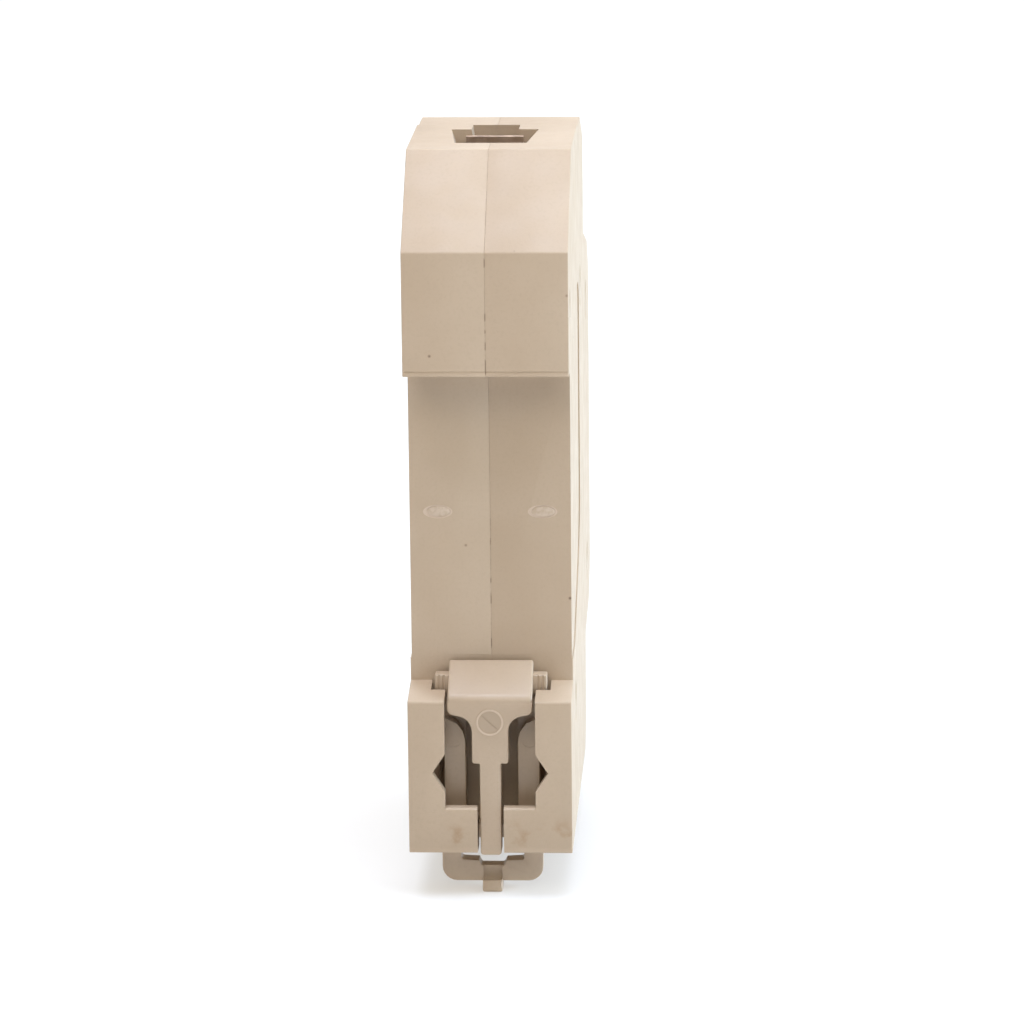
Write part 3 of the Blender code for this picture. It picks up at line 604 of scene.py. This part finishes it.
def inner_works(half, side):
    """The chamber floor, bearing bosses and rivet posts behind the side wall."""
    wall = HALF_WIDTH - SIDE_WALL + 0.3
    join(half, box("chamber_floor", sorted((side * SEAM, side * wall)), (-37.0, -24.6), (23.4, 24.6)))
    # Each post's centre, radius, distance from the middle and bore. The first rivet runs in the solid lug.
    posts = [(centre, 2.0, SEAM, 0) for centre in RIVETS[1:]]
    posts += [(pin_centre("toggle_pin"), 2.3, 5.2, 1.3), (pin_centre("contact_arm_pin"), 2.2, 4.2, 1.3),
              (pin_centre("trip_lever_pin"), 2.0, 4.2, 1.1)]
    for (y, z), radius, depth, bore in posts:
        low, high = sorted((side * depth, side * wall))
        join(half, rod("post", "X", (0, y, z), radius, low, high, 32))
        if bore:
            low, high = sorted((side * (depth - BEYOND), side * (HALF_WIDTH - SIDE_WALL + 0.1)))
            cut(half, rod("bore", "X", (0, y, z), bore, low, high, 32))


def pin_centre(name):
    low, high = node_box(name)
    return ((low.y + high.y) / 2, (low.z + high.z) / 2)


RIVETS = [pin_centre(f"rivet_{index}") for index in range(1, 6)]


def rivet_seats(half, side):
    for y, z in RIVETS:
        cut(half, rod("rivet_hole", "X", (0, y, z), RIVET_HOLE, -9.5, 9.5, 32))
        bottom, rim, outside = HALF_WIDTH - 0.9, HALF_WIDTH - 0.2, HALF_WIDTH + 0.3
        seat = ((0, bottom), (RIVET_SINK, bottom), (RIVET_SINK, rim),
                (RIVET_SINK + 0.5, outside), (0, outside))
        tool = turned("rivet_seat", seat, "X", (0, 0, 0), 40)
        if side < 0:
            tool.data.transform(Matrix.Rotation(math.pi, 4, "Z"))
        tool.data.transform(Matrix.Translation((0, y * MM, z * MM)))
        cut(half, tool)


def toggle_window(half):
    window = rounded(((-3.2, -10.5, 0.6), (3.2, -10.5, 0.6), (3.2, 10.5, 0.6), (-3.2, 10.5, 0.6)))
    cut(half, plate("window", window, "Y", NOSE - BEYOND, -52.0))
    wider = [(x * 1.12, z * 1.035) for x, z in window]
    cut(half, loft("window_lead", window, wider, "Y", -NOSE - 0.5, -NOSE + 0.03))


def housing_shell(side):
    name = "left" if side > 0 else "right"
    low, high = sorted((side * SEAM, side * HALF_WIDTH))
    rims = (0.03, 0.3) if side > 0 else (0.3, 0.03)
    half = plate(f"shell_{name}", housing_outline(), "X", low, high, rims)
    inside = sorted((side * -1.0, side * (HALF_WIDTH - SIDE_WALL)))
    cut(half, plate("cavity", CAVITY, "X", *inside))
    inner_works(half, side)
    terminal_cuts(half)
    toggle_window(half)
    clip_cuts(half)
    side_relief(half, side)
    gate_mark(half, side)
    rivet_seats(half, side)
    dress(half, MATERIALS["housing_plastic"], "root", f"housing_{name}", slot="housing_plastic")


def rivets():
    end, seat, radius, head = HALF_WIDTH - 0.1, HALF_WIDTH - 0.6, 1.1, 1.9
    for index, (y, z) in enumerate(RIVETS, start=1):
        dome = [(head * math.cos(t), seat + 0.1 + 0.4 * math.sin(t)) for t in
                (math.radians(step * 15) for step in range(6))]
        right_side = [(radius, seat), (head, seat)] + dome + [(0, end)]
        profile = [(r, -x) for r, x in reversed(right_side)] + right_side
        dress(turned(f"rivet_dressed_{index}", profile, "X", (0, y, z)), MATERIALS["steel"], "root",
              f"rivet_{index}", slot="steel")


# ---------------------------------------------------------------- rail clip

def mirrored_outline(half):
    return half + tuple((-x, z, radius) for x, z, radius in reversed(half))


def clip_body():
    outline = mirrored_outline((
        (4.55, -19.0, 0), (4.55, -20.3, 0.7), (1.95, -20.75, 1.7), (1.95, -25.72, 0.3),
        (1.13, -25.74, 0.15), (1.13, -35.9, 0.35)))
    return plate("clip_body", rounded(outline), "Y", 2.9, CLIP_FACE, rims=(0.1, 0.16))


def clip_frame():
    """The two arms, the cross bar that pulls them and the window between."""
    outline = rounded((
        (5.15, -17.0, 0), (5.15, -36.2, 0), (5.45, -36.6, 0.3), (5.45, -39.7, 1.6), (-5.45, -39.7, 1.6),
        (-5.45, -36.6, 0.3), (-5.15, -36.2, 0), (-5.15, -17.0, 0), (-2.8, -17.0, 0), (-2.8, -35.6, 0.2),
        (-3.4, -36.2, 0.3), (-3.4, -37.3, 0.35), (-1.5, -37.4, 0.1), (-1.2, -38.0, 0.25), (1.2, -38.0, 0.25),
        (1.5, -37.4, 0.1), (3.4, -37.3, 0.35), (3.4, -36.2, 0.3), (2.8, -35.6, 0.2), (2.8, -17.0, 0)))
    return plate("clip_frame", outline, "Y", ARM_FRONT, ARM_FACE, rims=(0.12, 0.18))


def shoulder_relief(side):
    """A cutter that thins one arm's upper end, so it passes deep behind the head's shoulder."""
    reach = ((2.4, -18.7), (6.0, -18.7), (6.0, -21.6), (4.9, -21.6), (3.75, -22.1), (3.1, -22.95),
             (2.78, -24.2), (2.4, -25.0))
    return plate("shoulder_relief", [(side * x, z) for x, z in reach], "Y", 0.85, 2.6)


def rail_clip():
    ramp = rounded(((0.42, -15.22, 0.3), (5.28, -18.45, 1.1), (5.28, -20.0, 0), (0.42, -19.6, 0)))
    clip = plate("rail_clip_dressed", ramp, "X", -4.51, 4.51, rims=(0.22, 0.22))
    join(clip, clip_body())
    join(clip, box("ears", (-6.0, 6.0), (0.47, 2.3), (-18.48, -16.72), 0.15))
    frame_piece = clip_frame()
    for side in (-1, 1):
        cut(frame_piece, shoulder_relief(side))
    join(clip, frame_piece)
    nub = rounded(((0.9, -40.68, 0), (3.38, -40.68, 0.3), (3.3, -40.2, 0.3), (2.7, -39.3, 0.3),
                   (0.9, -39.3, 0)))
    join(clip, plate("nub", nub, "X", -1.08, 1.08, rims=(0.2, 0.2)))
    cut(clip, rod("scoop", "X", (0, 2.75, -38.55), 0.95, -1.0, 1.0))
    for x in (-5.55, -5.05, 5.05, 5.55):
        cut(clip, rod("ear_groove", "Z", (x, 2.34, 0), 0.16, -20.0, -15.0, 16))
    for x in (-4.1, 4.1):
        floor, above = ARM_FACE - 0.06, ARM_FACE + 0.4
        mark = ((0.0, floor), (0.85, floor), (0.85, above), (0.0, above))
        cut(clip, turned("ejector", mark, "Y", (x, 0, -23.9)))
    root, crown = CLIP_FACE - 0.1, CLIP_FACE + 0.08
    ring = ((1.24, root), (1.46, root), (1.44, crown), (1.27, crown))
    join(clip, turned("ring", ring, "Y", (0, 0, RING_Z), 64))
    scratch = box("scratch", (-1.05, 1.05), (5.25, 5.5), (-0.07, 0.07))
    scratch.data.transform(Matrix.Rotation(math.radians(-42), 4, "Y"))
    scratch.data.transform(Matrix.Translation((0, 0, RING_Z * MM)))
    cut(clip, scratch)
    dress(clip, MATERIALS["clip_plastic"], "clip", "rail_clip", slot="clip_plastic")


# ---------------------------------------------------------------- toggle

TOGGLE_REST = math.radians(38)
TOGGLE_HALF = 2.78
HANDLE_ROOT = 5.0
HANDLE_TIP = 17.15


def toggle():
    """The drum and the ribbed handle, drawn straight out and then turned to rest."""
    y, z = pin_centre("toggle_pin")
    lever = rod("toggle_dressed", "X", (0, y, z), 6.38, -TOGGLE_HALF, TOGGLE_HALF, 64)
    root, bend, tip = y - HANDLE_ROOT, y - 14.0, y - HANDLE_TIP
    handle = rounded(((root, z - 2.85, 0), (bend, z - 2.15, 1.0), (tip, z - 1.5, 1.2),
                      (tip, z + 1.5, 1.2), (bend, z + 2.15, 1.0), (root, z + 2.85, 0)))
    join(lever, plate("handle", handle, "X", -TOGGLE_HALF, TOGGLE_HALF, rims=(0.45, 0.45), rim_segments=4))
    for step in range(5):
        for edge in (-1, 1):
            centre = (0, y - 11.2 - step * 1.05, z + edge * (2.55 - step * 0.07))
            cut(lever, rod("grip", "X", centre, 0.32, -3.5, 3.5, 16))
    cut(lever, rod("bore", "X", (0, y, z), 1.3, -4.0, 4.0))
    cut(lever, rod("crank_hole", "X", (0, y + 5.0, z), 0.8, 0.6, 4.0))
    centre = Vector((0, y, z)) * MM
    turn = Matrix.Translation(centre) @ Matrix.Rotation(TOGGLE_REST, 4, "X") @ Matrix.Translation(-centre)
    lever.data.transform(turn)
    dress(lever, MATERIALS["toggle_plastic"], "toggle", "toggle_lever", slot="toggle_plastic")


# ---------------------------------------------------------------- terminals

SCREW_PITCH = 0.8


def terminal_screw(place):
    """A combination-slot screw, its thread drawn as rings."""
    z = SCREW_Z[place]
    core, crest = 1.55, 1.74
    profile = [(0, -33.55), (2.3, -33.6), (2.85, -33.45), (3.08, -33.1), (3.08, -30.75), (2.95, -30.6),
               (core, -30.6)]
    along = -30.0
    while along < -20.6:
        profile += [(core, along), (crest, along + 0.3), (crest, along + 0.4), (core, along + 0.7)]
        along += SCREW_PITCH
    profile += [(core, -20.0), (1.15, -19.42), (0, -19.42)]
    screw = turned(f"{place}_screw_dressed", profile, "Y", (0, 0, z))
    slot, above = 0.42, -34.5
    cut(screw, box("slot", (-3.5, 3.5), (above, -32.3), (z - slot, z + slot)))
    cut(screw, box("cross", (-slot, slot), (above, -31.9), (z - 2.0, z + 2.0)))
    cut(screw, box("cross_lead", (-2.0, 2.0), (above, -31.9), (z - slot, z + slot)))
    dress(screw, MATERIALS["zinc_plate"], f"{place}_screw", f"{place}_terminal_screw", slot="zinc_plate")


def terminal_cage(place):
    """A folded steel clamp: rounded outside bends, a threaded hole and ribs across the clamping wall."""
    z = SCREW_Z[place]
    outer = rounded(((-4.58, -22.98, 0.9), (4.58, -22.98, 0.9), (4.58, -9.02, 0.9), (-4.58, -9.02, 0.9)))
    cage = plate(f"{place}_cage_dressed", outer, "Z", z - 4.0, z + 4.0, rims=(0.2, 0.2))
    inner = rounded(((-3.4, -21.0, 0.3), (3.4, -21.0, 0.3), (3.4, -10.3, 0.3), (-3.4, -10.3, 0.3)))
    cut(cage, plate("inside", inner, "Z", z - 5, z + 5))
    for step in range(-3, 4):
        cut(cage, rod("rib", "X", (0, -10.3, z + step * 1.0), 0.22, -3.2, 3.2, 12))
    cut(cage, rod("thread", "Y", (0, 0, z), 2.0, -24.0, -20.0))
    dress(cage, MATERIALS["zinc_plate"], f"{place}_cage", f"{place}_terminal_cage", slot="zinc_plate")


# ---------------------------------------------------------------- wound wire

WIRE_SIDES = 14
STEPS_PER_TURN = 40


def wound_wire(name, centre, radius, low, high, turns, wire):
    """Round wire wound about an axis along Y, its ends closed."""
    work = bmesh.new()
    steps = round(turns * STEPS_PER_TURN)
    along_axis = Vector((0, 1, 0))
    rings = []
    for step in range(steps + 1):
        angle = 2 * math.pi * turns * step / steps
        outward = Vector((math.cos(angle), 0, math.sin(angle)))
        hub = Vector(centre) + outward * radius + along_axis * (low + (high - low) * step / steps)
        around = [2 * math.pi * side / WIRE_SIDES for side in range(WIRE_SIDES)]
        rings.append([work.verts.new((hub + (outward * math.cos(t) + along_axis * math.sin(t)) * wire) * MM)
                      for t in around])
    for first, second in zip(rings, rings[1:]):
        for side in range(WIRE_SIDES):
            following = (side + 1) % WIRE_SIDES
            work.faces.new((first[side], first[following], second[following], second[side]))
    work.faces.new(rings[0])
    work.faces.new(rings[-1])
    return to_piece(name, work)


def solenoid_wire():
    """The coil's thick winding, and the return spring that the plunger closes up."""
    centre = (0, 0, COIL_Z)
    winding = wound_wire("coil_winding_dressed", centre, 5.15, -14.0, -5.1, 5.0, 0.8)
    dress(winding, MATERIALS["copper"], "root", "coil_winding", slot="copper")
    low, high = -10.9, -8.6
    wire = 0.22
    spring = wound_wire("plunger_spring_dressed", centre, 2.2, low, high, 4.0, wire)
    dress(spring, MATERIALS["spring_steel"], "root", "plunger_spring", slot="spring_steel")
    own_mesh(spring)


# ---------------------------------------------------------------- studio and camera

CAMERA_PLACE = Vector((-0.0281, 0.5037, 0.1178))
CAMERA_YAW = 0.0511
CAMERA_PITCH = 0.2282
CAMERA_ROLL = 0.0103
CAMERA_LENS = 170.8


def camera():
    """Behind the breaker, a little above and to its right, through a long lens."""
    yaw, pitch, roll = CAMERA_YAW, CAMERA_PITCH, CAMERA_ROLL
    forward = Vector((math.sin(yaw) * math.cos(pitch), -math.cos(yaw) * math.cos(pitch), -math.sin(pitch)))
    right = forward.cross(Vector((0, 0, 1))).normalized()
    down = forward.cross(right)
    across = right * math.cos(roll) + down * math.sin(roll)
    upward = right * math.sin(roll) - down * math.cos(roll)
    data = bpy.data.cameras.new("camera")
    data.lens = CAMERA_LENS
    data.sensor_width = 36.0
    data.clip_start = 0.02
    data.clip_end = 20.0
    seat = bpy.data.objects.new("camera", data)
    seat.matrix_world = Matrix((across, upward, -forward)).transposed().to_4x4()
    seat.matrix_world.translation = CAMERA_PLACE
    bpy.context.scene.collection.objects.link(seat)
    bpy.context.scene.camera = seat


def softbox(name, place, target, width, height, power, colour=(1, 1, 1), spread=180):
    data = bpy.data.lights.new(name, "AREA")
    data.spread = math.radians(spread)
    data.shape = "RECTANGLE"
    data.size, data.size_y = width, height
    data.energy = power
    data.color = colour
    lamp = bpy.data.objects.new(name, data)
    lamp.location = place
    lamp.rotation_mode = "QUATERNION"
    lamp.rotation_quaternion = (Vector(target) - Vector(place)).to_track_quat("-Z", "Y")
    bpy.context.scene.collection.objects.link(lamp)


WARM = (1.0, 0.95, 0.87)
FLOOR_HALF = 3000
FLOOR_THICKNESS = 1


def studio():
    """Warm light on the rear, cool overhead and from the right, and pale paper under the object."""
    world = bpy.data.worlds.new("studio")
    world.use_nodes = True
    background = world.node_tree.nodes["Background"]
    background.inputs["Color"].default_value = (1.0, 0.985, 0.96, 1.0)
    background.inputs["Strength"].default_value = 0.03
    bpy.context.scene.world = world
    bpy.context.scene.view_settings.view_transform = "Standard"
    centre = (0, -0.02, 0)
    for name, x in (("main_left", 0.39), ("main_right", -0.39)):
        softbox(name, (x, 0.43, 0.535), centre, 0.3, 0.3, 0.9, WARM)
    softbox("main", (0.03, 0.60, 0.48), centre, 0.3, 0.3, 1.15, WARM)
    softbox("overhead", (0.02, 0.15, 0.79), centre, 0.6, 0.5, 7.0, (0.76, 0.81, 0.96))
    softbox("front_overhead", (0.0, -0.75, 0.72), (0, -0.55, 0), 1.1, 0.7, 9.0, (0.93, 0.96, 1.0))
    softbox("right_side", (-0.75, -0.05, 0.15), centre, 0.4, 0.6, 11.5, (0.63, 0.80, 1.0))
    softbox("left_side", (0.8, -0.2, 0.25), centre, 0.5, 0.5, 1.8)
    for x, y in ((1.3, 0.4), (-1.3, 0.4), (0, 1.4)):
        softbox("floor_wash", (x, y, 1.0), (x, y, 0), 1.0, 1.0, 9.0, (0.95, 0.97, 1.0), spread=70)
    across = (-FLOOR_HALF, FLOOR_HALF)
    floor = box("floor", across, across, (FLOOR - FLOOR_THICKNESS, FLOOR))
    paper = Finish("floor_paper", 0.85)
    paper.colour(paper.mix(paper.noise(40.0), (0.46, 0.46, 0.455), (0.44, 0.44, 0.435)))
    paper.shader.inputs["Emission Color"].default_value = (1.0, 0.98, 0.94, 1.0)
    paper.shader.inputs["Emission Strength"].default_value = 0.42
    floor.data.materials.append(paper.material)


camera()
studio()
finish_cad_nodes()
for housing_side in (1, -1):
    housing_shell(housing_side)
rivets()
rail_clip()
toggle()
solenoid_wire()
for terminal in SCREW_Z:
    terminal_screw(terminal)
    terminal_cage(terminal)
